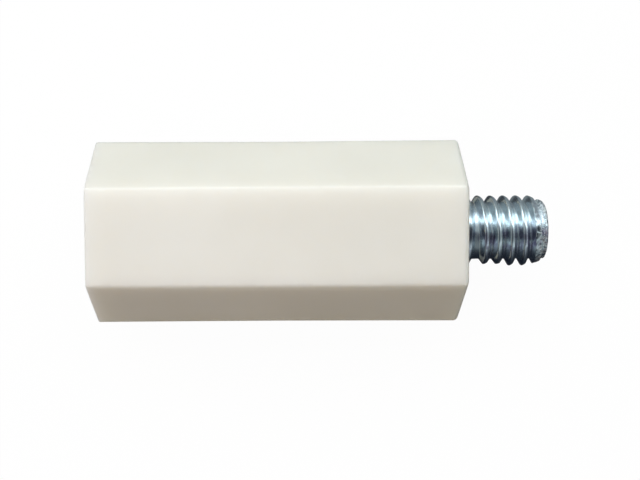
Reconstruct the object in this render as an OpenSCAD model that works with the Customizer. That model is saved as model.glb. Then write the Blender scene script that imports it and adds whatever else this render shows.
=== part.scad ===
// Insulating hex standoff: a moulded plastic body with a threaded steel stud
// moulded into one end and a tapped steel insert moulded into the other.
//
// The axis lies along X and the stud points towards +X. The part rests on one
// of its six flats. The origin is on the axis, in the seat at the stud's foot.

/* [Body] */
// Hexagon across its flats
across_flats = 17.46; // [15:0.01:25]
// Body from seat to seat
body_l = 39.7; // [34:0.1:90]
// Rounding of the long edges and of the edges round the stud's seat
edge_r = 0.58; // [0.2:0.01:1.2]
// Chamfer round the insert's end, where the mould parts
parting_chamfer = 0.15; // [0.05:0.01:0.19]

/* [Thread] */
// Nominal diameter, the same on the stud and in the insert
thread_d = 7.94; // [6:0.01:8.4]
// Pitch
thread_pitch = 1.411; // [1.1:0.001:1.6]
// How far the stud's crests lie inside the nominal diameter, on the radius
crest_allowance = 0.09; // [0:0.01:0.15]

/* [Stud] */
// Stud from the seat to its tip
stud_l = 9.4; // [8:0.1:30]
// Plain land between the seat and the thread
land_l = 0.8; // [0.6:0.1:2]
// How far the land stands proud of the crests
land_proud = 0.02; // [0.01:0.01:0.05]
// Neck at the thread's root, between the land and the thread
neck_l = 0.3; // [0.1:0.1:1]
// Length in which the first crest rises to its full height
run_in_l = 0.9; // [0.5:0.1:2]
// Length of the tapered point
point_l = 1.7; // [1:0.1:2.5]
// How far the flat end of the point lies inside the thread's root
point_inset = 0.35; // [0.1:0.05:0.6]
// Where the first crest starts, as an angle round the axis
thread_turn = 14; // [0:1:359]
// Knurled anchor of the stud, inside the plastic
stud_anchor_l = 12.7; // [9:0.1:16]

/* [Insert] */
// Full depth of the tapped hole
tapped_depth = 11.1; // [8:0.1:12]
// Metal left behind the drill's point
insert_floor = 2; // [1:0.1:3]
// How far the countersink at the mouth reaches past the thread
mouth_margin = 0.15; // [0.05:0.01:0.3]
// Included angle of the drill's point
drill_angle = 118; // [90:1:140]

/* [Anchors] */
// Knurl over its teeth
knurl_d = 12; // [11:0.1:13]
// Depth of the knurl's teeth
knurl_depth = 0.35; // [0.2:0.05:0.5]
// Spacing of the teeth round the knurl
knurl_pitch = 1.2; // [1:0.1:2]
// Plain collar, flush with the plastic
collar_d = 11; // [10:0.1:11]
// Length of the collar
collar_l = 1.6; // [1:0.1:2.5]
// Groove that locks the anchor endways
groove_d = 10; // [9.2:0.1:10]
// Length of the groove
groove_l = 2; // [1:0.1:3]
// Chamfer on the anchor's back edge
anchor_chamfer = 0.4; // [0.1:0.1:0.6]

/* [Fineness] */
// Facets round one turn of the thread
turn_facets = 24; // [18:6:36]
// Facets round a full circle, where a viewer needs them
circle_facets = 96; // [48:12:180]

/* [Hidden] */

HEX_SIDES = 6;
CORNER_TURN = 360 / HEX_SIDES;
// Cuts run this far past a face that they open
OVERSHOOT = 1;
// The cut for a rounding is larger than the rounding by this factor, so that it
// crosses the flats at a shallow angle and doesn't only graze them
ROUND_BITE = 1.003;

// The hexagon that the rounding rolls round
core_apothem = across_flats / 2 - edge_r;
core_corner = core_apothem / cos(CORNER_TURN / 2);

// Basic form of the Unified thread, as shares of the pitch. Its crest is an eighth
// of the pitch wide and its root a quarter, and rolling rounds both off.
FLANK_ANGLE = 30;
THREAD_DEPTH = (1 / 2 - 1 / 16 - 1 / 8) / tan(FLANK_ANGLE);
CREST_ROUND = 0.03;
ROOT_ROUND = 0.06;
CREST_HALF = 1 / 16 + CREST_ROUND * tan(FLANK_ANGLE);
FLANK_RUN = (THREAD_DEPTH - CREST_ROUND - ROOT_ROUND) * tan(FLANK_ANGLE);

land_r = thread_d / 2 - crest_allowance;
crest_r = land_r - land_proud;
root_r = crest_r - THREAD_DEPTH * thread_pitch;
point_r = root_r - point_inset;
// Radius beyond every crest, where the tapered point's cone starts
clear_r = crest_r + 1;
point_slope = point_l / (crest_r - point_r);
// The thread's skin starts inside the land
thread_start = land_l / 2;
// Turns that reach past the tip from a pitch below the thread's start
thread_turns = ceil((stud_l - thread_start) / thread_pitch) + 2;

tap_drill_r = (thread_d - thread_pitch) / 2;
drill_point_l = tap_drill_r / tan(drill_angle / 2);
mouth_r = thread_d / 2 + mouth_margin;
insert_l = tapped_depth + drill_point_l + insert_floor;

// One pitch of the thread, as [place along the pitch, depth below the crest]
THREAD_FORM = [
    [-CREST_HALF, CREST_ROUND],
    [0, 0],
    [CREST_HALF, CREST_ROUND],
    [CREST_HALF + FLANK_RUN, THREAD_DEPTH - ROOT_ROUND],
    [0.5, THREAD_DEPTH],
    [1 - CREST_HALF - FLANK_RUN, THREAD_DEPTH - ROOT_ROUND]
];
FORM_STEPS = len(THREAD_FORM);

// The share of its full height that the thread has at height z
function risen(z) = min(max((z - land_l - neck_l) / run_in_l, 0), 1);

// The point on the thread's surface at one step of the turn and one of the form
function thread_point(turn_step, form_step) =
    let (
        form = THREAD_FORM[form_step % FORM_STEPS],
        pitches = floor(form_step / FORM_STEPS) - 1 + form[0],
        angle = 360 * turn_step / turn_facets,
        z = thread_start + thread_pitch * (pitches + turn_step / turn_facets),
        r = root_r + (THREAD_DEPTH - form[1]) * thread_pitch * risen(z)
    )
    [r * cos(angle), r * sin(angle), z];

// The thread as a closed skin, a turn and more longer than the stud at each end.
// Column turn_facets is column 0, one pitch further on.
module thread_skin() {
    rows = thread_turns * FORM_STEPS;
    columns = turn_facets;
    points = [
        for (column = [0 : columns - 1], row = [0 : rows + FORM_STEPS])
            thread_point(column, row)
    ];
    per_column = rows + FORM_STEPS + 1;
    function at(column, row) = column < columns
        ? column * per_column + row
        : row + FORM_STEPS;
    foot = len(points);
    head = foot + 1;
    foot_z = thread_start - 3 * thread_pitch;
    head_z = thread_start + (thread_turns + 3) * thread_pitch;
    skin = [
        for (column = [0 : columns - 1], row = [0 : rows - 1])
            [at(column, row), at(column, row + 1), at(column + 1, row + 1), at(column + 1, row)]
    ];
    foot_fan = [
        for (column = [0 : columns - 1])
            [foot, at(column, 0), at(column + 1, 0)]
    ];
    foot_step = [
        for (row = [0 : FORM_STEPS - 1])
            [foot, row + 1, row]
    ];
    head_fan = [
        for (column = [0 : columns - 1])
            [head, at(column + 1, rows), at(column, rows)]
    ];
    head_step = [
        for (row = [rows : rows + FORM_STEPS - 1])
            [head, row, row + 1]
    ];
    polyhedron(
        points = concat(points, [[0, 0, foot_z], [0, 0, head_z]]),
        faces = concat(skin, foot_fan, foot_step, head_fan, head_step)
    );
}

// What the thread is trimmed to: flat inside the land, tapered at the point
module thread_envelope() {
    rotate_extrude($fn = circle_facets)
        polygon([
            [0, thread_start],
            [clear_r, thread_start],
            [clear_r, stud_l - (clear_r - point_r) * point_slope],
            [point_r, stud_l],
            [0, stud_l]
        ]);
}

module knurl_outline() {
    teeth = round(PI * knurl_d / knurl_pitch);
    tip = knurl_d / 2;
    polygon([
        for (i = [0 : 2 * teeth - 1])
            let (r = tip - (i % 2) * knurl_depth, angle = 180 * i / teeth)
            [r * cos(angle), r * sin(angle)]
    ]);
}

// Outer form of both anchors: a collar whose face is at z = 0, a groove and a
// knurl, going down. reach lengthens the collar upwards, past the plastic.
module anchor_form(length, reach = 0) {
    translate([0, 0, -collar_l])
        cylinder(h = collar_l + reach, d = collar_d, $fn = circle_facets);
    translate([0, 0, -length])
        cylinder(h = length, d = groove_d, $fn = circle_facets);
    intersection() {
        translate([0, 0, -length])
            linear_extrude(length - collar_l - groove_l)
                knurl_outline();
        translate([0, 0, -length])
            cylinder(
                h = length,
                r1 = knurl_d / 2 - anchor_chamfer,
                r2 = knurl_d / 2 - anchor_chamfer + length,
                $fn = circle_facets
            );
    }
}

// One pair of opposite flats with the edges of their ends: round at the stud's
// end and chamfered at the insert's. It is longer than the hexagon is wide.
module slab() {
    half = across_flats / 2;
    rotate([90, 0, 0])
        linear_extrude(2 * across_flats, center = true) {
            polygon([
                [parting_chamfer - half, -body_l],
                [half - parting_chamfer, -body_l],
                [half, parting_chamfer - body_l],
                [half, -edge_r],
                [-half, -edge_r],
                [-half, parting_chamfer - body_l]
            ]);
            translate([-core_apothem, -edge_r])
                square([2 * core_apothem, edge_r]);
            for (side = [-1, 1])
                translate([side * core_apothem, -edge_r])
                    circle(edge_r, $fn = circle_facets);
        }
}

// What rounding takes off a long edge and off its corner at the stud's end
module corner_cut() {
    reach = edge_r * ROUND_BITE;
    rotate_extrude(angle = CORNER_TURN, $fn = circle_facets)
        difference() {
            translate([0, -body_l - OVERSHOOT])
                square([2 * edge_r, body_l + 2 * OVERSHOOT]);
            translate([0, -edge_r])
                circle(reach, $fn = circle_facets);
            translate([0, -body_l - 2 * OVERSHOOT])
                square([reach, body_l + 2 * OVERSHOOT - edge_r]);
        }
}

// The outside of the body, with its axis along z and the stud's seat at z = 0
module body_form() {
    difference() {
        intersection_for (i = [0 : HEX_SIDES / 2 - 1])
            rotate((i + 0.5) * CORNER_TURN)
                slab();
        for (i = [0 : HEX_SIDES - 1])
            rotate(i * CORNER_TURN)
                translate([core_corner, 0, 0])
                    rotate(-CORNER_TURN / 2)
                        corner_cut();
    }
}

// Turns a piece built along z so that it lies along X, on a flat of the hexagon
module lay_down() {
    rotate([0, 90, 0])
        rotate(CORNER_TURN / 2)
            children();
}

// Turns a piece built from the stud's seat so that it starts at the other end
module at_insert_end() {
    translate([0, 0, -body_l])
        mirror([0, 0, 1])
            children();
}

module hex_body() {
    color("ivory")
        lay_down()
            difference() {
                body_form();
                anchor_form(stud_anchor_l, OVERSHOOT);
                at_insert_end()
                    anchor_form(insert_l, OVERSHOOT);
            }
}

module threaded_stud() {
    color("lightsteelblue")
        lay_down() {
            anchor_form(stud_anchor_l);
            cylinder(h = land_l, r = land_r, $fn = circle_facets);
            intersection() {
                rotate(thread_turn)
                    thread_skin();
                thread_envelope();
            }
        }
}

module threaded_insert() {
    color("silver")
        lay_down()
            at_insert_end()
                difference() {
                    anchor_form(insert_l);
                    translate([0, 0, -tapped_depth])
                        cylinder(h = tapped_depth + OVERSHOOT, r = tap_drill_r, $fn = circle_facets);
                    translate([0, 0, -tapped_depth - drill_point_l])
                        cylinder(h = drill_point_l, r1 = 0, r2 = tap_drill_r, $fn = circle_facets);
                    translate([0, 0, tap_drill_r - mouth_r])
                        cylinder(
                            h = mouth_r - tap_drill_r + OVERSHOOT,
                            r1 = tap_drill_r,
                            r2 = mouth_r + OVERSHOOT,
                            $fn = circle_facets
                        );
                }
}

hex_body();
threaded_stud();
threaded_insert();
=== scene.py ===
"""Dresses a moulded hex standoff: its plastic body, steel stud, tapped insert and studio."""

import math

import bmesh
import bpy
import numpy as np
from bpy.props import FloatProperty, FloatVectorProperty, IntProperty, PointerProperty
from mathutils import Matrix, Vector, noise


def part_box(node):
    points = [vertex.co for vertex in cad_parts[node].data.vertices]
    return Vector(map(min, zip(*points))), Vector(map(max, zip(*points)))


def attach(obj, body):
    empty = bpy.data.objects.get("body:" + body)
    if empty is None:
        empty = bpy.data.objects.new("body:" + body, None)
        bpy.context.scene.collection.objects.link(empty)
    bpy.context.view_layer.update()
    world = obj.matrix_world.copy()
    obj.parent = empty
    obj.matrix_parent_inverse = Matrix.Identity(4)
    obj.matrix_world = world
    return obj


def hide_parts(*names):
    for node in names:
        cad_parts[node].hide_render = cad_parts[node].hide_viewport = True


bl_info = {
    "name": "Threaded Hex Standoff",
    "version": (1, 0, 0),
    "blender": (4, 5, 0),
    "location": "View3D > Sidebar > Standoff",
    "description": "Adds a moulded hex standoff with a threaded stud, a tapped insert and a studio",
    "category": "Add Mesh",
}

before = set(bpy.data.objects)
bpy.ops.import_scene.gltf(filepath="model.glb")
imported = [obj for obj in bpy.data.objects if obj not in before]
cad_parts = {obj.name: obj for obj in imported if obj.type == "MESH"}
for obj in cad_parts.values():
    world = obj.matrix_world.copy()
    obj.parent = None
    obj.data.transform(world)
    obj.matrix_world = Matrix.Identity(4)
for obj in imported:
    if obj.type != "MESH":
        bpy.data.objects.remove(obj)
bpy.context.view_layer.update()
MM = 0.001

BODY_LOW, BODY_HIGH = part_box("hex_body")
STUD_LOW, STUD_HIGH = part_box("threaded_stud")
INSERT_LOW, INSERT_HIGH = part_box("threaded_insert")

HEX_SIDES = 6
TOP_FLAT = 1
QUARTER_TURN = math.pi / 2

# How finely the pieces are drawn
RIDGE_STEPS = 8
FLAT_STEPS = 28
BODY_RINGS = 64
INSERT_RIM_RINGS = 5
STUD_RIM_RINGS = 9
TIP_RINGS = 9
STUD_RING_STEP = 0.036 * MM
BORE_RING_STEP = 0.05 * MM
THREAD_FORM_POINTS = 512
CREASE_ANGLE = math.radians(34)
MERGE_DISTANCE = 0.0001 * MM
SHORTEST_EDGE = 0.00001 * MM

# Small breaks of the edges, and what a user wouldn't change
SOCKET_LIP = 0.05 * MM
COLLAR_BREAK = 0.06 * MM
LAND_BREAK = 0.05 * MM
SHARPEST_RIDGE = 0.05 * MM
DRILL_HALF_ANGLE = math.radians(59)
MOUTH_LAND = 0.6 * MM


def length_setting(name, description, default):
    """A length in metres that a user may change."""
    return FloatProperty(
        name=name,
        description=description,
        default=default,
        min=0,
        unit="LENGTH",
        subtype="DISTANCE",
        precision=5,
    )


def angle_setting(name, description, degrees):
    """An angle that a user may change."""
    radians = math.radians(degrees)
    return FloatProperty(name=name, description=description, default=radians, subtype="ANGLE")


def power_setting(name, default):
    """A lamp's power that a user may change."""
    return FloatProperty(name=name, description="Power in watts", default=default, min=0, unit="POWER")


def share_setting(name, description, default):
    """A share from 0 to 1 that a user may change."""
    return FloatProperty(
        name=name,
        description=description,
        default=default,
        min=0,
        max=1,
        subtype="FACTOR",
    )


def strength_setting(name, description, default):
    """A strength of light that a user may change."""
    return FloatProperty(name=name, description=description, default=default, min=0)


def colour_setting(name, description, default):
    """A linear colour that a user may change."""
    return FloatVectorProperty(
        name=name,
        description=description,
        default=default,
        min=0,
        max=1,
        size=3,
        subtype="COLOR",
    )


class BodySettings(bpy.types.PropertyGroup):
    """Sizes and colours of the moulded body"""

    across_flats: length_setting("Across flats", "Width of the hexagon", BODY_HIGH.z - BODY_LOW.z)
    length: length_setting("Length", "From seat to seat", BODY_HIGH.x - BODY_LOW.x)
    stud_rim: length_setting("Stud's rim", "Rounding of the rim at the stud's end", 0.58 * MM)
    insert_rim: length_setting("Insert's rim", "Rounding of the rim at the insert's end", 0.15 * MM)
    ridge_radius: length_setting("Ridge radius", "Rounding at the very ridge of a long edge", 0.42 * MM)
    crown_angle: angle_setting("Crown angle", "Slope of a flat beside its ridge", 5)
    sink_angle: angle_setting("Sink angle", "The same where the top flat has sunk", 14)
    parting_angle: angle_setting("Parting slope", "The same beside the parting line", 4)
    crown_reach: length_setting("Crown reach", "How fast that slope dies away from the ridge", 0.60 * MM)
    face_sink: length_setting("Face sink", "How low the top flat has sunk at the stud's end", 0.20 * MM)
    parting_radius_insert: length_setting("Parting ridge", "Rounding at the insert's end", 1.10 * MM)
    parting_radius_stud: length_setting("Parting ridge, stud", "Rounding at the stud's end", 0.25 * MM)
    waviness: length_setting("Waviness", "How far shrinkage draws the flats in", 0.012 * MM)
    wave_length: length_setting("Wave length", "Size of its waves along the body", 9 * MM)
    wave_width: length_setting("Wave width", "Size of its waves across the body", 6 * MM)
    colour: colour_setting("Plastic", "Ivory plastic", (0.780, 0.757, 0.702))
    cloud_colour: colour_setting("Cloud", "Slightly paler plastic in soft clouds", (0.805, 0.784, 0.734))


class ThreadSettings(bpy.types.PropertyGroup):
    """Sizes that the stud's and the insert's threads share"""

    pitch: length_setting("Pitch", "Distance from crest to crest", 1.411 * MM)
    depth: length_setting("Depth", "Crest to root, on the radius", 0.76 * MM)
    nominal_radius: length_setting("Nominal radius", "Half the nominal diameter", 3.97 * MM)
    tapping_radius: length_setting("Tapping radius", "Half the tapping drill's diameter", 3.2645 * MM)


class StudSettings(bpy.types.PropertyGroup):
    """Sizes and colours of the stud"""

    length: length_setting("Length", "From the seat to the tip", STUD_HIGH.x)
    anchor_length: length_setting("Anchor", "Length inside the plastic", -STUD_LOW.x)
    land_radius: length_setting("Land radius", "Plain land at the foot", 3.88 * MM)
    land_length: length_setting("Land", "Length of the plain land", 0.92 * MM)
    foot_fillet: length_setting("Foot fillet", "Fillet between the seat and the land", 0.12 * MM)
    land_slope: length_setting("Land's slope", "Length of the slope from the land to the root", 0.44 * MM)
    crest_radius: length_setting("Crest radius", "Over the thread's crests", 3.88 * MM)
    first_crest: length_setting("First crest", "Where a crest crosses the +Y side", 0.73 * MM)
    run_in_start: length_setting("Run-in", "Where the first crest starts to rise", 1.4 * MM)
    run_in_end: length_setting("Full thread", "Where the crest has its full height", 2.0 * MM)
    point_length: length_setting("Point", "Length of the tapered point", 1.75 * MM)
    point_radius: length_setting("Point radius", "The point's cone at its end", 3.20 * MM)
    tip_round: length_setting("Tip rounding", "Rounding of the point's rim", 0.35 * MM)
    worn_depth: length_setting("Worn depth", "How much lower the first crests are at -Y", 0.18 * MM)
    worn_end: length_setting("Worn length", "Where the crests are whole again", 5.2 * MM)
    roll_marks: length_setting("Roll marks", "How far rolling left the thread uneven", 0.018 * MM)
    roll_mark_size: length_setting("Roll mark size", "From one such mark to the next", 1.1 * MM)
    point_marks: length_setting("Point marks", "How rough the point is", 0.07 * MM)
    point_mark_size: length_setting("Point mark size", "From one such mark to the next", 0.45 * MM)
    end_dent: length_setting("End dent", "Depth of the dents in the stud's end", 0.03 * MM)
    end_dent_size: length_setting("End dent size", "From one such dent to the next", 1.2 * MM)
    end_hollow: length_setting("End hollow", "How hollow the middle of the end is", 0.04 * MM)
    columns: IntProperty(name="Columns", description="Points round the stud", default=168, min=24)
    zinc: colour_setting("Zinc", "Bright zinc plate", (0.78, 0.86, 0.90))
    # The purple cast, which the zinc also carries as painted shade on its -Y side
    passivate_and_shade: colour_setting("Passivate", "Purple cast where the coat is thick", (0.31, 0.27, 0.42))
    blotches: share_setting("Blotches", "How strong that cast is", 0.75)


class InsertSettings(bpy.types.PropertyGroup):
    """Sizes and colours of the insert"""

    length: length_setting("Length", "From its face to its back", INSERT_HIGH.x - INSERT_LOW.x)
    hole_depth: length_setting("Hole", "Full depth of the tapped hole", 11.1 * MM)
    thread_length: length_setting("Thread", "Depth to which the hole is tapped", 9.6 * MM)
    mouth_radius: length_setting("Mouth", "Countersink at the hole's mouth", 4.12 * MM)
    columns: IntProperty(name="Columns", description="Points round the insert", default=128, min=24)
    zinc: colour_setting("Zinc", "Dull zinc plate", (0.60, 0.62, 0.64))
    # The purple cast, which the zinc also carries as painted shade on its -Y side
    passivate_and_shade: colour_setting("Passivate", "Cast where the coat is thick", (0.46, 0.45, 0.52))
    blotches: share_setting("Blotches", "How strong that cast is", 0.45)


class AnchorSettings(bpy.types.PropertyGroup):
    """Sizes that both moulded-in anchors share"""

    collar_radius: length_setting("Collar radius", "Plain collar, flush with the plastic", 5.5 * MM)
    collar_length: length_setting("Collar", "Length of the collar", 1.6 * MM)
    groove_radius: length_setting("Groove radius", "Groove that locks the anchor", 5.0 * MM)
    groove_length: length_setting("Groove", "Length of the groove", 2.0 * MM)
    knurl_radius: length_setting("Knurl radius", "Over the knurl's teeth", INSERT_HIGH.z)
    knurl_depth: length_setting("Knurl depth", "Depth of the teeth", 0.35 * MM)
    knurl_chamfer: length_setting("Knurl chamfer", "Chamfer of the anchor's back edge", 0.4 * MM)
    teeth: IntProperty(name="Teeth", description="Teeth round the knurl", default=31, min=8)


class StudioSettings(bpy.types.PropertyGroup):
    """The camera, the lights, the floor and the tent"""

    lens: FloatProperty(name="Lens", description="Focal length in millimetres", default=67.16, min=1)
    distance: length_setting("Distance", "From the camera to the part", 131.5 * MM)
    camera_roll: angle_setting("Roll", "The camera's turn about the line it looks along", 0.32)
    camera_pan: angle_setting("Pan", "The camera's turn along the part", 1.59)
    camera_tilt: angle_setting("Tilt", "The camera's turn across the part", 4.16)
    aside: length_setting("Aside", "How far left of the picture's middle the part lies", 4.55 * MM)
    above: length_setting("Above", "How far above the picture's middle the part lies", 0.92 * MM)
    key_power: power_setting("Key", 2.20)
    key_colour: colour_setting("Key colour", "Colour of the key light", (0.94, 1.0, 0.97))
    top_power: power_setting("Top", 0.11)
    top_colour: colour_setting("Top colour", "Colour of the light overhead", (1.0, 0.84, 0.92))
    fill_power: power_setting("Fill", 0.212)
    fill_colour: colour_setting("Fill colour", "Colour of the light in front", (1.0, 0.79, 0.20))
    ambient: strength_setting("Ambient", "Strength of the light from all round", 0.175)
    floor_colour: colour_setting("Floor", "Plain pale floor", (0.92, 0.92, 0.92))
    floor_glow: share_setting("Floor glow", "Share of the floor that is pure white", 0.97)
    bounce_colour: colour_setting("Bounce", "Floor, as seen by the light it sends up", (0.50, 0.50, 0.46))
    tent_strength: strength_setting("Tent", "Strength of the tent's glow", 2.9)
    tent_colour: colour_setting("Cloth", "Cloth of the tent that metal mirrors", (0.86, 0.98, 1.0))
    tent_shade: colour_setting("Shade", "The cloth where it is dark", (0.0, 0.0005, 0.003))


class Signal:
    """A node's output that can stand in an expression. Each step of the expression adds a Math node."""

    def __init__(self, shader, socket):
        self.shader = shader
        self.socket = socket

    def math(self, operation, *values):
        numbered = dict(enumerate(values))
        return self.shader.node("ShaderNodeMath", {"operation": operation}, numbered)

    def __add__(self, other):
        return self.math("ADD", self, other)

    def __radd__(self, other):
        return self.math("ADD", other, self)

    def __sub__(self, other):
        return self.math("SUBTRACT", self, other)

    def __rsub__(self, other):
        return self.math("SUBTRACT", other, self)

    def __mul__(self, other):
        return self.math("MULTIPLY", self, other)

    def __rmul__(self, other):
        return self.math("MULTIPLY", other, self)

    def __truediv__(self, other):
        return self.math("DIVIDE", self, other)

    def __rtruediv__(self, other):
        return self.math("DIVIDE", other, self)

    def smooth(self, low, high):
        """0 below low and 1 above high, with a soft step between them."""
        settings = {"interpolation_type": "SMOOTHSTEP", "clamp": True}
        return self.shader.node("ShaderNodeMapRange", settings, {0: self, 1: low, 2: high})

    def limited(self):
        """Kept between 0 and 1."""
        return self.shader.node("ShaderNodeClamp", {}, {0: self})


class Shader:
    """A material's or the world's node tree."""

    def __init__(self, owner):
        owner.use_nodes = True
        self.tree = owner.node_tree
        self.tree.nodes.clear()

    def node(self, kind, settings=None, inputs=None, output=0):
        """Adds a node: its settings first, then the values and links of its sockets."""
        made = self.tree.nodes.new(kind)
        for name, value in (settings or {}).items():
            if name == "stops":
                self.set_stops(made.color_ramp, value)
            else:
                setattr(made, name, value)
        for key, value in (inputs or {}).items():
            if isinstance(value, Signal):
                self.tree.links.new(value.socket, made.inputs[key])
            else:
                made.inputs[key].default_value = value
        return Signal(self, made.outputs[output]) if made.outputs else None

    @staticmethod
    def set_stops(ramp, stops):
        while len(ramp.elements) > 1:
            ramp.elements.remove(ramp.elements[-1])
        for index, (place, colour) in enumerate(stops):
            stop = ramp.elements[0] if index == 0 else ramp.elements.new(place)
            stop.position = place
            stop.color = colour

    def place(self):
        """Where a point is on the part, in metres."""
        return self.node("ShaderNodeTexCoord", output="Object")

    def axis(self, vector, name):
        """A vector's X, Y or Z."""
        return self.node("ShaderNodeSeparateXYZ", {}, {0: vector}, output=name)

    def scaled(self, vector, scale):
        settings = {"operation": "MULTIPLY"}
        return self.node("ShaderNodeVectorMath", settings, {0: vector, 1: scale})

    def noise(self, vector, scale, detail=3.0, roughness=0.5, distortion=0.0):
        inputs = {
            "Vector": vector,
            "Scale": scale,
            "Detail": detail,
            "Roughness": roughness,
            "Distortion": distortion,
        }
        return self.node("ShaderNodeTexNoise", {}, inputs)

    def mixed(self, factor, first, second):
        """Colours: first where the factor is 0 and second where it is 1."""
        inputs = {0: factor, 6: solid(first), 7: solid(second)}
        return self.node("ShaderNodeMix", {"data_type": "RGBA"}, inputs, output=2)

    def bump(self, height, strength, distance):
        inputs = {"Height": height, "Strength": strength, "Distance": distance}
        return self.node("ShaderNodeBump", {}, inputs)

    def finish(self, surface, kind="ShaderNodeOutputMaterial"):
        self.node(kind, {}, {"Surface": surface})


def solid(colour):
    """A colour with its alpha, or a signal as it is."""
    return colour if isinstance(colour, Signal) else (*colour, 1.0)


def plastic_material(settings):
    """Ivory moulded plastic: soft clouds of tone, a satin skin and a faint mould grain."""
    material = bpy.data.materials.new("ivory_plastic")
    shader = Shader(material)
    place = shader.place()
    clouds = shader.noise(place, 90.0, detail=2.0, roughness=0.55)
    flecks = shader.noise(place, 1400.0, detail=2.0)
    tone = (clouds.smooth(0.32, 0.70) * 0.8 + flecks * 0.2).limited()
    grain = shader.noise(place, 2600.0, roughness=0.6)
    swell = shader.noise(shader.scaled(place, (0.5, 1.0, 1.0)), 260.0, detail=1.0)
    surface = shader.node(
        "ShaderNodeBsdfPrincipled",
        {},
        {
            "Base Color": shader.mixed(tone, settings.colour, settings.cloud_colour),
            "Roughness": 0.31 + clouds * 0.10 + flecks * 0.05,
            "IOR": 1.5,
            "Subsurface Weight": 1.0,
            "Subsurface Radius": (1.0, 0.96, 0.90),
            "Subsurface Scale": 3 * MM,
            "Normal": shader.bump(grain * 0.25 + swell * 4.0, strength=0.35, distance=0.01 * MM),
        },
    )
    shader.finish(surface)
    return material


def zinc_material(name, settings):
    """Zinc plate on rolled steel: bright, with a purple film in blotches and streaks round the part.

    The blotches are drawn strongest on the -Y side, short of its outermost part, which is painted
    shade. The stud's tip is dented, has dark specks of grime and painted shade on that side, and is
    bare in places.
    """
    material = bpy.data.materials.new(name)
    shader = Shader(material)
    place = shader.place()
    forward = shader.axis(place, "Y") * -1
    # Painted shade: the purple cast is drawn strongest on the -Y side and weaker further forward
    painted_shade_side = forward.smooth(-0.9 * MM, 0.5 * MM)
    far_forward = forward.smooth(1.3 * MM, 2.6 * MM)
    at_tip = shader.axis(place, "X").smooth(8.0 * MM, 8.7 * MM)

    drawn = shader.scaled(place, (2600.0, 260.0, 260.0))
    streaks = shader.noise(drawn, 1.0, detail=4.0, roughness=0.6, distortion=0.3)
    patches = shader.noise(place, 620.0, detail=5.0, roughness=0.62, distortion=0.4)
    film = (patches * 0.65 + streaks * 0.35).smooth(0.455, 0.56) * settings.blotches
    # Random purple blotches, weighted towards the -Y side as painted shade
    cast = film * (0.25 + painted_shade_side * 0.75) * (1 - far_forward * 0.6)

    grime_noise = shader.noise(place, 2600.0, detail=2.0, roughness=0.6, distortion=0.8)
    # Dark specks at the tip, partly grime and partly painted shade, since they are kept to the -Y side
    grime_and_shade = grime_noise.smooth(0.53, 0.60) * at_tip * painted_shade_side * 0.8
    bare = grime_noise.smooth(0.44, 0.56) * at_tip
    grit = shader.noise(place, 3800.0, roughness=0.6)
    dents = shader.noise(place, 1900.0, detail=2.0, roughness=0.55, distortion=0.6) * at_tip
    height = patches * 1.6 + streaks * 1.0 + grit * 0.5 + dents * 8.0
    plated = shader.mixed(cast, settings.zinc, settings.passivate_and_shade)
    surface = shader.node(
        "ShaderNodeBsdfPrincipled",
        {},
        {
            # The near-black colour of those grime and painted shade specks
            "Base Color": shader.mixed(grime_and_shade, plated, (0.10, 0.07, 0.09)),
            "Metallic": 1 - bare * 0.65,
            "Roughness": (0.10 + patches * 0.14 + streaks * 0.08).limited(),
            "Normal": shader.bump(height, strength=0.5, distance=0.02 * MM),
        },
    )
    shader.finish(surface)
    return material


def skin(name, rings, columns, low_cap, high_cap):
    """A closed mesh from rings of points that follow each other along the part.

    Each ring is an array of points, one per column. low_cap and high_cap are the
    points that close the first and the last ring.
    """
    points = np.concatenate([*rings, [low_cap], [high_cap]])
    count = len(rings)
    low, high = count * columns, count * columns + 1
    faces = []
    for ring in range(count - 1):
        for column in range(columns):
            beside = (column + 1) % columns
            here, there = ring * columns, (ring + 1) * columns
            faces.append((here + column, here + beside, there + beside, there + column))
    last = (count - 1) * columns
    for column in range(columns):
        beside = (column + 1) % columns
        faces.append((low, beside, column))
        faces.append((high, last + column, last + beside))
    mesh = bpy.data.meshes.new(name)
    mesh.from_pydata(points.tolist(), [], faces)
    form = bmesh.new()
    form.from_mesh(mesh)
    bmesh.ops.remove_doubles(form, verts=form.verts, dist=MERGE_DISTANCE)
    bmesh.ops.dissolve_degenerate(form, edges=form.edges, dist=SHORTEST_EDGE)
    bmesh.ops.recalc_face_normals(form, faces=form.faces)
    form.to_mesh(mesh)
    form.free()
    for polygon in mesh.polygons:
        polygon.use_smooth = True
    mesh.set_sharp_from_angle(angle=CREASE_ANGLE)
    piece = bpy.data.objects.new(name, mesh)
    bpy.context.scene.collection.objects.link(piece)
    return piece


def round_angles(columns):
    """Angles round the axis, from +Y towards +Z."""
    return np.linspace(0.0, 2 * math.pi, columns, endpoint=False)


def ring_at(place, radius, angles):
    """A ring of points round the axis at one place, or at a place for each angle."""
    across = np.broadcast_to(radius, angles.shape)
    along = np.broadcast_to(place, angles.shape)
    return np.stack([along, across * np.cos(angles), across * np.sin(angles)], axis=1)


def anchor_profile(anchor, length):
    """Depths, radii and whether the knurl is there, from an anchor's back edge to its flush face."""
    chamfer = anchor.knurl_chamfer
    groove_back = anchor.collar_length + anchor.groove_length
    return [
        (length, anchor.knurl_radius - chamfer, False),
        (length - chamfer, anchor.knurl_radius, True),
        (groove_back, anchor.knurl_radius, True),
        (groove_back, anchor.groove_radius, False),
        (anchor.collar_length, anchor.groove_radius, False),
        (anchor.collar_length, anchor.collar_radius, False),
        (COLLAR_BREAK, anchor.collar_radius, False),
        (0.0, anchor.collar_radius - COLLAR_BREAK, False),
    ]


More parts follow.
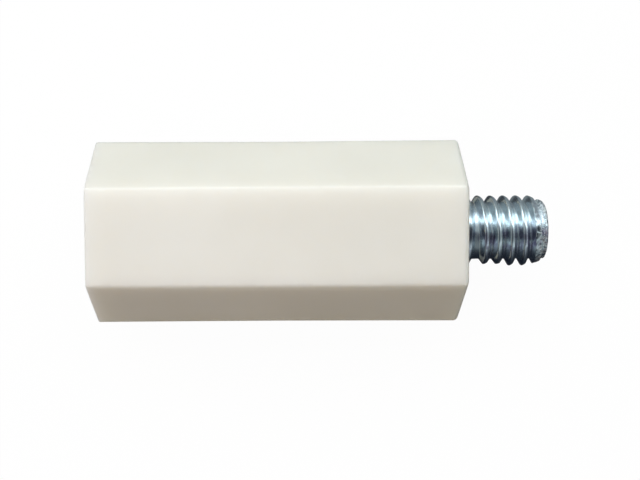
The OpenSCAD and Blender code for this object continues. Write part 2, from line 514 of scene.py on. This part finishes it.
def anchor_rings(anchor, length, angles, seat, inwards):
    """The rings of an anchor whose face is at seat and whose body goes inwards along X."""
    tooth = np.abs(((angles * anchor.teeth / (2 * math.pi)) % 1.0) * 2 - 1)
    rings = []
    for depth, radius, knurled in anchor_profile(anchor, length):
        cut = tooth * anchor.knurl_depth if knurled else 0.0
        rings.append(ring_at(seat + inwards * depth, radius - cut, angles))
    return rings


# The thread's form: how far from the crest's edge, in pitches, and how high from root to crest
THREAD_FORM = ((-0.43, 0.0), (-0.12, 1.0), (0.0, 1.0), (0.20, 0.79), (0.42, 0.0))
THREAD_SOFTENING = 0.032

# The radius at which the stud's random marks are drawn, and where in the noise each kind lies
WANDER_RADIUS = 4 * MM
ROLL_MARK_SEED = 3.0
END_DENT_SEED = 7.0
POINT_MARK_SEED = 11.0

# Over what length the worn crests become whole
WEAR_FADE = 1 * MM


def from_crest(turns):
    """How far the nearest crest's edge is, in pitches, from -0.5 to 0.5."""
    return (turns + 0.5) % 1.0 - 0.5


def thread_share(turns):
    """The thread's height, from 0 at the root to 1 at the crest, with rolled, rounded corners.

    turns counts pitches, and is a whole number at the edge of each crest.
    """
    fine = np.linspace(-0.5, 0.5, THREAD_FORM_POINTS, endpoint=False)
    places, heights = zip(*THREAD_FORM)
    sharp = np.interp(fine, places, heights)
    spread = np.exp(-0.5 * (fine / THREAD_SOFTENING) ** 2)
    blur = np.fft.fft(np.fft.ifftshift(spread / spread.sum()))
    soft = np.real(np.fft.ifft(np.fft.fft(sharp) * blur))
    return np.interp(from_crest(turns), fine, soft, period=1.0)


def wander(place, angles, size, seed):
    """A smooth random number from -1 to 1 for each angle at one place on the stud."""
    points = ring_at(place, WANDER_RADIUS, angles) / size + np.array([0, seed, 0])
    return np.array([noise.noise(Vector(point)) for point in points])


def stud_radius(stud, thread, place, angles):
    """The stud's radius at each angle round one place beyond its land."""
    turns = (place - stud.first_crest) / thread.pitch - angles / (2 * math.pi)
    nearest_crest = place - from_crest(turns) * thread.pitch
    run_in = stud.run_in_end - stud.run_in_start
    risen = np.clip((nearest_crest - stud.run_in_start) / run_in, 0, 1)
    height = thread.depth * thread_share(turns) * risen
    worn_side = np.clip(-np.cos(angles), 0, 1) ** 2
    worn_place = np.clip((stud.worn_end - place) / WEAR_FADE, 0, 1)
    height = height * (1 - stud.worn_depth * worn_side * worn_place / thread.depth)
    root = stud.crest_radius - thread.depth
    roll_marks = stud.roll_marks * wander(place, angles, stud.roll_mark_size, ROLL_MARK_SEED)
    rolled = np.minimum(root + height + roll_marks, stud.crest_radius)
    taper = (stud.length - place) / stud.point_length
    cone = stud.point_radius + (stud.crest_radius - stud.point_radius) * taper
    point_marks = stud.point_marks * wander(place, angles, stud.point_mark_size, POINT_MARK_SEED)
    return np.minimum(rolled, cone + point_marks)


def body_ridges(body, place):
    """The radius of each of the six ridges, and the slopes of the flats before and after it.

    The mould parts at the first and the fourth ridge, which are softer towards the insert. The
    flat after the second has sunk beside it.
    """
    along = np.clip(1 + place / (0.5 * body.length), 0, 1)
    parting_radius = body.parting_radius_insert * (1 - along) + body.parting_radius_stud * along
    parting = (parting_radius, body.parting_angle, body.parting_angle)
    plain = (body.ridge_radius, body.crown_angle, body.crown_angle)
    sunk = (body.ridge_radius, body.crown_angle, body.sink_angle)
    return [parting, sunk, plain, parting, plain, plain]


def body_outline(body, place, inset=0.0):
    """The hexagon at one place, drawn in by inset, as [y, z] points from one corner round to it again.

    Each flat falls away towards its ridges, which small arcs round off.
    """
    apothems = np.full(HEX_SIDES, body.across_flats / 2 - inset)
    apothems[TOP_FLAT] -= body.face_sink * math.sqrt(max(1 + place / body.length, 0))
    half_side = math.pi / HEX_SIDES
    turns = (2 * np.arange(HEX_SIDES) + 1) * half_side
    normals = np.stack([np.cos(turns), np.sin(turns)], axis=1)
    arcs, drops = [], []
    for index, (radius, before, after) in enumerate(body_ridges(body, place)):
        radius = max(radius - inset, SHARPEST_RIDGE)
        slopes = np.array([before, after])
        drop = body.crown_reach * np.tan(slopes)
        reach = apothems[[index - 1, index]] - drop - radius * np.cos(slopes)
        centre = np.linalg.solve(normals[[index - 1, index]], reach)
        middle = 2 * index * half_side
        sweep = np.linspace(middle - half_side + before, middle + half_side - after, RIDGE_STEPS + 1)
        arcs.append(centre + radius * np.stack([np.cos(sweep), np.sin(sweep)], axis=1))
        drops.append(drop)
    shares = 0.5 - 0.5 * np.cos(np.linspace(0, math.pi, FLAT_STEPS, endpoint=False))[1:]
    outline = []
    for index, arc in enumerate(arcs):
        ahead = (index + 1) % HEX_SIDES
        normal = normals[index]
        tangent = np.array([-normal[1], normal[0]])
        start, end = arc[-1] @ tangent, arcs[ahead][0] @ tangent
        along = start + (end - start) * shares
        fallen = drops[index][1] * np.exp((start - along) / body.crown_reach)
        fallen += drops[ahead][0] * np.exp((along - end) / body.crown_reach)
        outline.append(arc)
        outline.append(np.outer(apothems[index] - fallen, normal) + np.outer(along, tangent))
    return np.concatenate(outline)


def body_ring(body, place, inset=0.0):
    """The hexagon at one place, drawn in by inset, as a ring of [x, y, z] points."""
    outline = body_outline(body, place, inset)
    return np.concatenate([np.full((len(outline), 1), place), outline], axis=1)


def shrunk(ring, body):
    """A ring of the body with its points drawn in a little where the plastic has shrunk."""
    moved = ring.copy()
    waves = ring / np.array([body.wave_length, body.wave_width, body.wave_width])
    for point, wave in zip(moved, waves):
        drawn_in = body.waviness * (0.5 + 0.5 * noise.noise(Vector(wave)))
        point[1:] *= 1 - drawn_in / math.hypot(point[1], point[2])
    return moved


class STANDOFF_OT_add_body(bpy.types.Operator):
    """Adds the moulded hexagonal body with the sockets that its two anchors fill"""

    bl_idname = "standoff.add_body"
    bl_label = "Add Moulded Body"

    def execute(self, context):
        body = context.scene.standoff_body
        anchor = context.scene.standoff_anchor
        insert_depth = context.scene.standoff_insert.length
        stud_depth = context.scene.standoff_stud.anchor_length
        back = -body.length
        corners = body_outline(body, back)
        angles = np.arctan2(corners[:, 1], corners[:, 0])

        rings = self.socket_rings(anchor, insert_depth, angles, back, 1)
        rings += self.face_rings(body, anchor, angles, back, body.insert_rim)
        rings += self.rim_rings(body, back, 1, body.insert_rim, INSERT_RIM_RINGS)
        for place in np.linspace(back + body.insert_rim, -body.stud_rim, BODY_RINGS)[1:-1]:
            rings.append(shrunk(body_ring(body, place), body))
        rings += self.rim_rings(body, 0.0, -1, body.stud_rim, STUD_RIM_RINGS)[::-1]
        rings += self.face_rings(body, anchor, angles, 0.0, body.stud_rim)[::-1]
        rings += self.socket_rings(anchor, stud_depth, angles, 0.0, -1)[::-1]

        low, high = (back + insert_depth, 0, 0), (-stud_depth, 0, 0)
        piece = skin("moulded_body", rings, len(angles), low, high)
        piece.data.materials.append(plastic_material(body))
        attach(piece, "root")
        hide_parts("hex_body")
        return {"FINISHED"}

    @staticmethod
    def socket_rings(anchor, length, angles, seat, inwards):
        """The socket that an anchor fills, from its floor out to its mouth."""
        groove_back = anchor.collar_length + anchor.groove_length
        profile = [
            (length, anchor.knurl_radius),
            (groove_back, anchor.knurl_radius),
            (groove_back, anchor.groove_radius),
            (anchor.collar_length, anchor.groove_radius),
            (anchor.collar_length, anchor.collar_radius),
            (SOCKET_LIP, anchor.collar_radius),
            (0.0, anchor.collar_radius + SOCKET_LIP),
        ]
        return [ring_at(seat + inwards * depth, radius, angles) for depth, radius in profile]

    @staticmethod
    def face_rings(body, anchor, angles, seat, rim):
        """The flat end, from the socket's mouth out towards the rim."""
        inner = ring_at(seat, anchor.collar_radius + SOCKET_LIP, angles)
        outer = body_ring(body, seat, rim)
        return [inner * (1 - share) + outer * share for share in (0.2, 0.4, 0.6, 0.8)]

    @staticmethod
    def rim_rings(body, seat, inwards, radius, count):
        """A rounded rim, from the flat end round to the body's flats."""
        rings = []
        for turn in np.linspace(0, QUARTER_TURN, count):
            place = seat + inwards * radius * (1 - math.cos(turn))
            rings.append(body_ring(body, place, radius * (1 - math.sin(turn))))
        return rings


class STANDOFF_OT_add_stud(bpy.types.Operator):
    """Adds the rolled-thread stud with its collar and knurled anchor"""

    bl_idname = "standoff.add_stud"
    bl_label = "Add Threaded Stud"

    def execute(self, context):
        stud = context.scene.standoff_stud
        thread = context.scene.standoff_thread
        anchor = context.scene.standoff_anchor
        angles = round_angles(stud.columns)
        root = stud.crest_radius - thread.depth

        rings = anchor_rings(anchor, stud.anchor_length, angles, 0.0, -1)
        for turn in (0.0, QUARTER_TURN / 2, QUARTER_TURN):
            place = stud.foot_fillet * (1 - math.cos(turn))
            radius = stud.land_radius + stud.foot_fillet * (1 - math.sin(turn))
            rings.append(ring_at(place, radius, angles))
        slope_end = stud.land_length + stud.land_slope
        rings.append(ring_at(stud.land_length - LAND_BREAK, stud.land_radius, angles))
        rings.append(ring_at(stud.land_length + LAND_BREAK, stud.land_radius - LAND_BREAK, angles))
        rings.append(ring_at(slope_end - LAND_BREAK, root + 2 * LAND_BREAK, angles))
        start, end = slope_end + LAND_BREAK, stud.length - stud.tip_round
        for place in np.linspace(start, end, round((end - start) / STUD_RING_STEP)):
            rings.append(ring_at(place, stud_radius(stud, thread, place, angles), angles))
        for turn in np.linspace(0, QUARTER_TURN, TIP_RINGS)[1:]:
            place = end + stud.tip_round * math.sin(turn)
            rim = stud_radius(stud, thread, place, angles) - stud.tip_round * (1 - math.cos(turn))
            rings.append(ring_at(place, rim, angles))
        for share in (0.75, 0.5, 0.25):
            marks = wander(stud.length, angles, stud.end_dent_size, END_DENT_SEED + share)
            rings.append(ring_at(stud.length - stud.end_dent * (1 + marks), rim * share, angles))

        low, high = (-stud.anchor_length, 0, 0), (stud.length - stud.end_hollow, 0, 0)
        piece = skin("rolled_stud", rings, stud.columns, low, high)
        piece.data.materials.append(zinc_material("zinc_stud", stud))
        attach(piece, "root")
        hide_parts("threaded_stud")
        return {"FINISHED"}


class STANDOFF_OT_add_insert(bpy.types.Operator):
    """Adds the steel insert with the thread in its hole"""

    bl_idname = "standoff.add_insert"
    bl_label = "Add Tapped Insert"

    def execute(self, context):
        insert = context.scene.standoff_insert
        thread = context.scene.standoff_thread
        anchor = context.scene.standoff_anchor
        angles = round_angles(insert.columns)
        face = -context.scene.standoff_body.length

        rings = anchor_rings(anchor, insert.length, angles, face, 1)
        rings.append(ring_at(face, insert.mouth_radius + MOUTH_LAND, angles))
        rings.append(ring_at(face, insert.mouth_radius, angles))
        count = round(insert.hole_depth / BORE_RING_STEP)
        for depth in np.linspace(BORE_RING_STEP, insert.hole_depth, count):
            rings.append(ring_at(face + depth, self.bore_radius(insert, thread, depth, angles), angles))
        drill_point = thread.tapping_radius / math.tan(DRILL_HALF_ANGLE)
        low = (face + insert.length, 0, 0)
        high = (face + insert.hole_depth + drill_point, 0, 0)
        piece = skin("tapped_insert", rings, insert.columns, low, high)
        piece.data.materials.append(zinc_material("zinc_insert", insert))
        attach(piece, "root")
        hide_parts("threaded_insert")
        return {"FINISHED"}

    @staticmethod
    def bore_radius(insert, thread, depth, angles):
        """The hole's radius at each angle: the thread's groove, the countersink and the drilled end."""
        turns = depth / thread.pitch + angles / (2 * math.pi)
        run_out = np.clip((insert.thread_length - depth) / thread.pitch, 0, 1)
        groove = (thread.nominal_radius - thread.tapping_radius) * thread_share(turns) * run_out
        countersink = insert.mouth_radius - depth
        return np.maximum(thread.tapping_radius + groove, countersink)


# The studio's fixed sizes and places
FLOOR_REACH = 3.0
FLOOR_GAP = 0.005 * MM
TENT_GAP = 0.002 * MM
TENT_RADIUS = 0.9
SENSOR_WIDTH_MM = 36
NEAREST_SEEN = 0.01
FURTHEST_SEEN = 20
BLACK = (0, 0, 0, 1)
WHITE = (1, 1, 1, 1)

# Each lamp's size, and its place from the point that all lamps face, in metres
LAMPS_FACE = Vector((-18 * MM, 0, 0))
LAMPS = {
    "key": ((0.80, 0.26), Vector((-0.02, 0.26, 0.31))),
    "top": ((0.12, 0.12), Vector((-0.095, -0.02, 0.17))),
    "fill": ((0.40, 0.24), Vector((-0.02, -0.40, 0.05))),
}

# The tent's tones by the angle from straight up, in degrees: below 0 in front, above 0 behind
TENT_LEFT = (
    (-95, 0.001), (-83, 0.010), (-68, 0.045), (-46, 0.05), (-20, 0.03), (-4, 0.08), (8, 0.14),
    (30, 0.22), (46, 1.0), (64, 0.72), (80, 0.24), (93, 0.07), (108, 0.05), (140, 0.005),
)
TENT_RIGHT = (
    (-99, 0.005), (-83, 0.08), (-62, 0.20), (-50, 0.15), (-38, 0.03), (-20, 0.01),
    (14, 0.006), (26, 0.06), (39, 1.0), (50, 0.40), (60, 0.14), (80, 0.09), (125, 0.07),
)
TENT_END = (
    (-99, 0.03), (-83, 0.26), (-62, 0.22), (-44, 0.08), (6, 0.11), (30, 0.20),
    (47, 0.80), (70, 0.72), (93, 0.34), (125, 0.03),
)


def seen_directly(shader):
    """1 for what the camera, a mirror or a glass shows, and 0 for light that falls on matt things."""
    rays = "ShaderNodeLightPath"
    seen = (
        shader.node(rays, output="Is Camera Ray")
        + shader.node(rays, output="Is Glossy Ray")
        + shader.node(rays, output="Is Transmission Ray")
    )
    return seen.limited()


def floor_material(studio):
    """Paper that looks almost white, takes the part's shadow and sends less light back up."""
    material = bpy.data.materials.new("pale_floor")
    shader = Shader(material)
    paper = shader.node("ShaderNodeBsdfDiffuse", {}, {"Color": (*studio.floor_colour, 1.0)})
    bounce = shader.node("ShaderNodeBsdfDiffuse", {}, {"Color": (*studio.bounce_colour, 1.0)})
    white = shader.node("ShaderNodeEmission", {}, {"Color": WHITE, "Strength": 1.0})
    pale = shader.node("ShaderNodeMixShader", {}, {0: studio.floor_glow, 1: paper, 2: white})
    seen = seen_directly(shader)
    shader.finish(shader.node("ShaderNodeMixShader", {}, {0: seen, 1: bounce, 2: pale}))
    return material


def tent_tone(shader, turn, tones):
    """A tone of the tent's cloth at each turn round the part."""
    stops = [(angle / 360 + 0.5, (tone, tone, tone, 1.0)) for angle, tone in tones]
    return shader.node("ShaderNodeValToRGB", {"stops": stops}, {0: turn})


def tent_material(studio):
    """Cloth that glows in bands round the part, with a set of bands for each end and one past the tip."""
    material = bpy.data.materials.new("tent_cloth")
    shader = Shader(material)
    towards = shader.node("ShaderNodeVectorMath", {"operation": "NORMALIZE"}, {0: shader.place()})
    along = shader.axis(towards, "X")
    across = shader.axis(towards, "Y")
    upwards = shader.axis(towards, "Z")
    turn = across.math("ARCTAN2", across, upwards) / (2 * math.pi) + 0.5
    left = tent_tone(shader, turn, TENT_LEFT)
    right = tent_tone(shader, turn, TENT_RIGHT)
    end = tent_tone(shader, turn, TENT_END)
    beside = shader.mixed(along.smooth(0.15, 0.50), left, right)
    tone = shader.mixed(along.smooth(0.80, 0.90), beside, end)
    glow = shader.mixed(tone, studio.tent_shade, studio.tent_colour)
    inputs = {
        "Base Color": BLACK,
        "Emission Color": glow,
        "Emission Strength": studio.tent_strength,
    }
    shader.finish(shader.node("ShaderNodeBsdfPrincipled", {}, inputs))
    return material


class STANDOFF_OT_add_studio(bpy.types.Operator):
    """Adds the floor, the lights and the camera"""

    bl_idname = "standoff.add_studio"
    bl_label = "Add Studio"

    def execute(self, context):
        studio = context.scene.standoff_studio
        self.add_floor(context.scene, studio)
        self.add_tent(context.scene, studio)
        self.add_world(context.scene, studio)
        for name, (size, offset) in LAMPS.items():
            power = getattr(studio, f"{name}_power")
            colour = getattr(studio, f"{name}_colour")
            self.add_light(context.scene, f"{name}_light", power, colour, size, offset)
        self.add_camera(context.scene, studio)
        context.scene.view_settings.view_transform = "Standard"
        return {"FINISHED"}

    @staticmethod
    def add_floor(scene, studio):
        """A wide pale floor that the part lies on."""
        level = BODY_LOW.z - FLOOR_GAP
        sides = ((-1, -1), (1, -1), (1, 1), (-1, 1))
        corners = [(FLOOR_REACH * x, FLOOR_REACH * y, level) for x, y in sides]
        mesh = bpy.data.meshes.new("floor")
        mesh.from_pydata(corners, [], [(0, 1, 2, 3)])
        mesh.materials.append(floor_material(studio))
        floor = bpy.data.objects.new("floor", mesh)
        scene.collection.objects.link(floor)

    @staticmethod
    def add_tent(scene, studio):
        """A dark tent with pale bands round the part, which only reflections show."""
        form = bmesh.new()
        bmesh.ops.create_icosphere(form, subdivisions=5, radius=TENT_RADIUS)
        for point in form.verts:
            point.co.z = max(point.co.z, BODY_LOW.z - TENT_GAP)
        mesh = bpy.data.meshes.new("light_tent")
        form.to_mesh(mesh)
        form.free()
        mesh.materials.append(tent_material(studio))
        tent = bpy.data.objects.new("light_tent", mesh)
        scene.collection.objects.link(tent)
        tent.visible_camera = False
        tent.visible_diffuse = False
        tent.visible_shadow = False
        tent.visible_transmission = False

    @staticmethod
    def add_world(scene, studio):
        """An even light from all round, in front of a white background."""
        scene.world = bpy.data.worlds.new("studio")
        shader = Shader(scene.world)
        light = shader.node("ShaderNodeBackground", {}, {"Color": WHITE, "Strength": studio.ambient})
        white = shader.node("ShaderNodeBackground", {}, {"Color": WHITE, "Strength": 1.0})
        seen = seen_directly(shader)
        mixed = shader.node("ShaderNodeMixShader", {}, {0: seen, 1: light, 2: white})
        shader.finish(mixed, "ShaderNodeOutputWorld")

    @staticmethod
    def add_light(scene, name, power, colour, size, offset):
        """A rectangular softbox that faces the part. Metal mirrors the tent instead of it."""
        lamp = bpy.data.lights.new(name, "AREA")
        lamp.shape = "RECTANGLE"
        lamp.size, lamp.size_y = size
        lamp.energy = power
        lamp.color = colour
        box = bpy.data.objects.new(name, lamp)
        box.location = LAMPS_FACE + offset
        box.rotation_euler = (-offset).to_track_quat("-Z", "Y").to_euler()
        box.visible_glossy = False
        scene.collection.objects.link(box)

    @staticmethod
    def add_camera(scene, studio):
        """A camera that looks down at the body's middle, a little from one side."""
        lens = bpy.data.cameras.new("camera")
        lens.lens = studio.lens
        lens.sensor_width = SENSOR_WIDTH_MM
        lens.clip_start = NEAREST_SEEN
        lens.clip_end = FURTHEST_SEEN
        camera = bpy.data.objects.new("camera", lens)
        turn = (
            Matrix.Rotation(studio.camera_roll, 3, "Z")
            @ Matrix.Rotation(studio.camera_pan, 3, "Y")
            @ Matrix.Rotation(studio.camera_tilt, 3, "X")
        )
        middle = Vector(((BODY_LOW.x + BODY_HIGH.x) / 2, 0, 0))
        offset = Vector((-studio.aside, studio.above, -studio.distance))
        back = turn.transposed()
        camera.matrix_world = Matrix.Translation(middle - back @ offset) @ back.to_4x4()
        scene.collection.objects.link(camera)
        scene.camera = camera


class STANDOFF_PT_panel(bpy.types.Panel):
    """Settings and steps of the standoff"""

    bl_label = "Standoff"
    bl_idname = "STANDOFF_PT_panel"
    bl_space_type = "VIEW_3D"
    bl_region_type = "UI"
    bl_category = "Standoff"

    def draw(self, context):
        for step, groups in STEPS.items():
            box = self.layout.box()
            for group in groups:
                settings = getattr(context.scene, group)
                for name in settings.bl_rna.properties.keys():
                    if name not in ("rna_type", "name"):
                        box.prop(settings, name)
            box.operator(step)


STEPS = {
    "standoff.add_body": ("standoff_body", "standoff_anchor"),
    "standoff.add_stud": ("standoff_stud", "standoff_thread"),
    "standoff.add_insert": ("standoff_insert",),
    "standoff.add_studio": ("standoff_studio",),
}
SETTINGS = {
    "standoff_body": BodySettings,
    "standoff_anchor": AnchorSettings,
    "standoff_stud": StudSettings,
    "standoff_thread": ThreadSettings,
    "standoff_insert": InsertSettings,
    "standoff_studio": StudioSettings,
}
OTHER_CLASSES = (
    STANDOFF_OT_add_body,
    STANDOFF_OT_add_stud,
    STANDOFF_OT_add_insert,
    STANDOFF_OT_add_studio,
    STANDOFF_PT_panel,
)


def register():
    for name, group in SETTINGS.items():
        bpy.utils.register_class(group)
        setattr(bpy.types.Scene, name, PointerProperty(type=group))
    for one in OTHER_CLASSES:
        bpy.utils.register_class(one)


def unregister():
    for one in reversed(OTHER_CLASSES):
        bpy.utils.unregister_class(one)
    for name, group in reversed(SETTINGS.items()):
        delattr(bpy.types.Scene, name)
        bpy.utils.unregister_class(group)


def main():
    register()
    bpy.ops.standoff.add_body()
    bpy.ops.standoff.add_stud()
    bpy.ops.standoff.add_insert()
    bpy.ops.standoff.add_studio()


if __name__ == "__main__":
    main()
